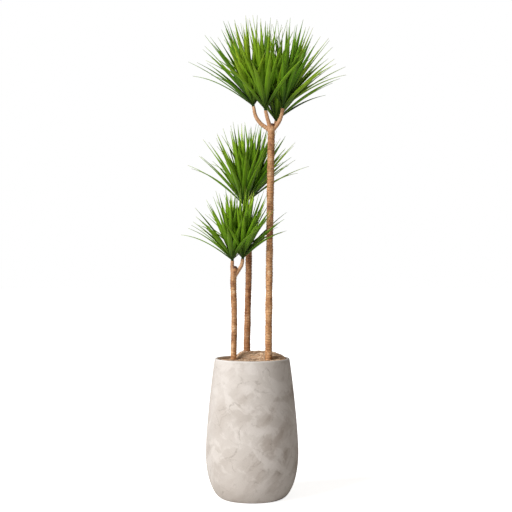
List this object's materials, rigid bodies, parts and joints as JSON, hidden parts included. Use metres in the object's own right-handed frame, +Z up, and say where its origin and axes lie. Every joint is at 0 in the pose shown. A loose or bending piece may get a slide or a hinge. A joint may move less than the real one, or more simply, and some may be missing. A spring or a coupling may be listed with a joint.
{
  "type": "potted yucca",
  "caption": "Tall house plant: ring-scarred canes of stepped heights with crowns of narrow pointed leaves, in a rounded pale concrete planter dressed with bark mulch.",
  "frame": {"origin": "centre of the planter's underside, on the plane it stands on", "axes": "+Z up along the canes; -Y is the front; +X is to the right seen from the front"},
  "size_m": [0.7039, 0.6611, 2.0569],
  "materials": {
    "concrete": "matt, trowelled, with pale brushed smears",
    "clay": "matt fired clay",
    "soil": "crumbly, matt",
    "bark": "dry shredded bark, matt",
    "cane": "dry bark with close ring scars, matt",
    "leaf": "smooth, slightly glossy, finely ribbed"
  },
  "bodies": {
    "root": {"planter": "concrete", "drainage_pebbles": "clay", "potting_soil": "soil", "bark_mulch": "bark", "cane_tall": "cane", "cane_middle": "cane", "cane_short": "cane", "leaves_tall_left_outer": "leaf", "leaves_tall_left_middle": "leaf", "leaves_tall_left_inner": "leaf", "leaves_tall_centre_outer": "leaf", "leaves_tall_centre_middle": "leaf", "leaves_tall_centre_inner": "leaf", "leaves_tall_right_outer": "leaf", "leaves_tall_right_middle": "leaf", "leaves_tall_right_inner": "leaf", "leaves_tall_back_outer": "leaf", "leaves_tall_back_middle": "leaf", "leaves_tall_back_inner": "leaf", "leaves_middle_left_outer": "leaf", "leaves_middle_left_middle": "leaf", "leaves_middle_left_inner": "leaf", "leaves_middle_right_outer": "leaf", "leaves_middle_right_middle": "leaf", "leaves_middle_right_inner": "leaf", "leaves_short_left_outer": "leaf", "leaves_short_left_middle": "leaf", "leaves_short_left_inner": "leaf", "leaves_short_right_outer": "leaf", "leaves_short_right_middle": "leaf", "leaves_short_right_inner": "leaf"}
  },
  "joints": []
}
